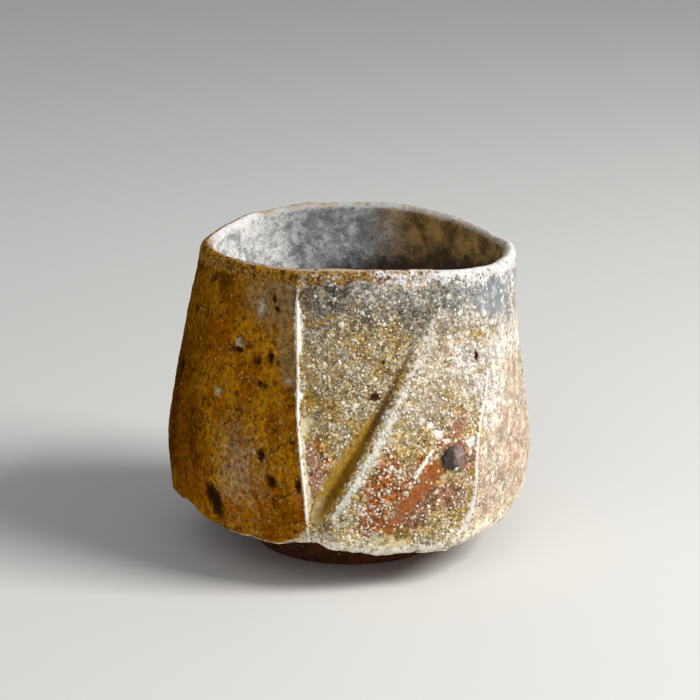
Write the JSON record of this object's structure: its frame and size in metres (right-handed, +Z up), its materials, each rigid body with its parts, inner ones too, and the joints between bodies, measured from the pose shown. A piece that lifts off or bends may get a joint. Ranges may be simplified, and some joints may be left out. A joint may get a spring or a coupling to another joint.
{
  "type": "sake cup",
  "caption": "Small hand-cut stoneware sake cup with knife-cut facets, raised ridges and a diagonal groove, ash-glazed outside, pale glaze inside, on a low foot ring.",
  "frame": {"origin": "centre of the foot ring on the surface that the cup stands on", "axes": "+Z up through the mouth; -Y is the front with the long ridge and the diagonal groove; +X is to the right of the front"},
  "size_m": [0.0628, 0.0627, 0.0536],
  "materials": {
    "clay": "rough fired stoneware",
    "bare_clay": "bare dark red-brown stoneware",
    "foot_clay": "bare stoneware, worn at the ground",
    "ash_glaze": "satin natural ash glaze, mottled ochre, grey, cream and rust",
    "inner_glaze": "semi-matt pale glaze, mottled white and blue-grey",
    "ash_crust": "rough pale ash crust",
    "pooled_glaze": "smooth olive glaze",
    "feldspar": "melted white feldspar",
    "dark_stone": "burnt dark stone"
  },
  "bodies": {
    "root": {"carved_wall": "clay", "base_disc": "bare_clay", "foot_ring": "foot_clay", "ash_glaze": "ash_glaze", "inner_glaze": "inner_glaze", "edge_crust": "ash_crust", "groove_pool": "pooled_glaze", "feldspar_grains": "feldspar", "dark_stone": "dark_stone"}
  },
  "joints": []
}
